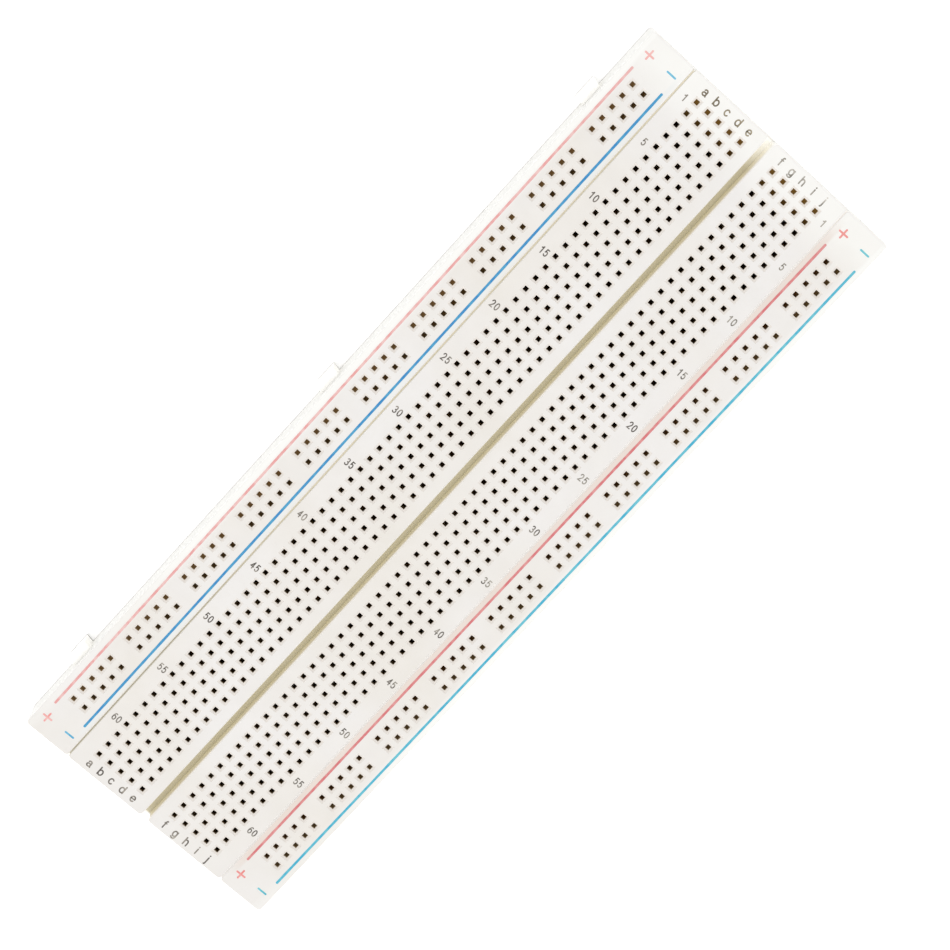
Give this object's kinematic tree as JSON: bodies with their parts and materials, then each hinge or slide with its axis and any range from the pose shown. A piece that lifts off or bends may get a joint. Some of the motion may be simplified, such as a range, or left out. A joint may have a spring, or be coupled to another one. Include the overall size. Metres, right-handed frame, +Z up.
{
  "type": "solderless breadboard",
  "caption": "Full-length solderless breadboard: terminal strip with centre groove, two detachable power rails, spring clips inside, foam tape below.",
  "frame": {"origin": "the middle of the flat underside, on the face of the release liner, in line with row 32 and the centre groove", "axes": "+X along the board towards row 1, +Y across it towards the column a side with the free tabs, +Z up out of the hole face"},
  "size_m": [0.1656, 0.057, 0.0085],
  "materials": {
    "housing_plastic": "fine moulded satin, warm white",
    "spring_metal": "bare phosphor-bronze sheet, slightly dull",
    "foam_tape": "closed-cell foam, off-white",
    "liner_paper": "coated release paper, pale yellow-buff",
    "ink_red": "thin pad-printed ink, salmon red",
    "ink_blue": "thin pad-printed ink, sky blue",
    "ink_grey": "thin pad-printed ink, warm dark grey"
  },
  "bodies": {
    "right_power_rail": {"right_rail_block": "housing_plastic", "right_positive_bus_clip": "spring_metal", "right_negative_bus_clip": "spring_metal", "right_rail_foam_tape": "foam_tape", "right_rail_liner": "liner_paper"},
    "terminal_strip": {"terminal_block": "housing_plastic", "clips_ae_rows_01_10": "spring_metal", "clips_ae_rows_11_20": "spring_metal", "clips_ae_rows_21_30": "spring_metal", "clips_ae_rows_31_40": "spring_metal", "clips_ae_rows_41_50": "spring_metal", "clips_ae_rows_51_60": "spring_metal", "clips_ae_rows_61_63": "spring_metal", "clips_fj_rows_01_10": "spring_metal", "clips_fj_rows_11_20": "spring_metal", "clips_fj_rows_21_30": "spring_metal", "clips_fj_rows_31_40": "spring_metal", "clips_fj_rows_41_50": "spring_metal", "clips_fj_rows_51_60": "spring_metal", "clips_fj_rows_61_63": "spring_metal", "terminal_foam_tape": "foam_tape", "terminal_liner": "liner_paper"},
    "left_power_rail": {"left_rail_block": "housing_plastic", "left_positive_bus_clip": "spring_metal", "left_negative_bus_clip": "spring_metal", "left_rail_foam_tape": "foam_tape", "left_rail_liner": "liner_paper"}
  },
  "joints": [
    {"name": "terminal_strip_slide", "type": "slide", "parent": "right_power_rail", "child": "terminal_strip", "axis": [0, 0, 1], "range_m": [0, 0.012]},
    {"name": "left_power_rail_slide", "type": "slide", "parent": "terminal_strip", "child": "left_power_rail", "axis": [0, 0, 1], "range_m": [0, 0.012]}
  ]
}
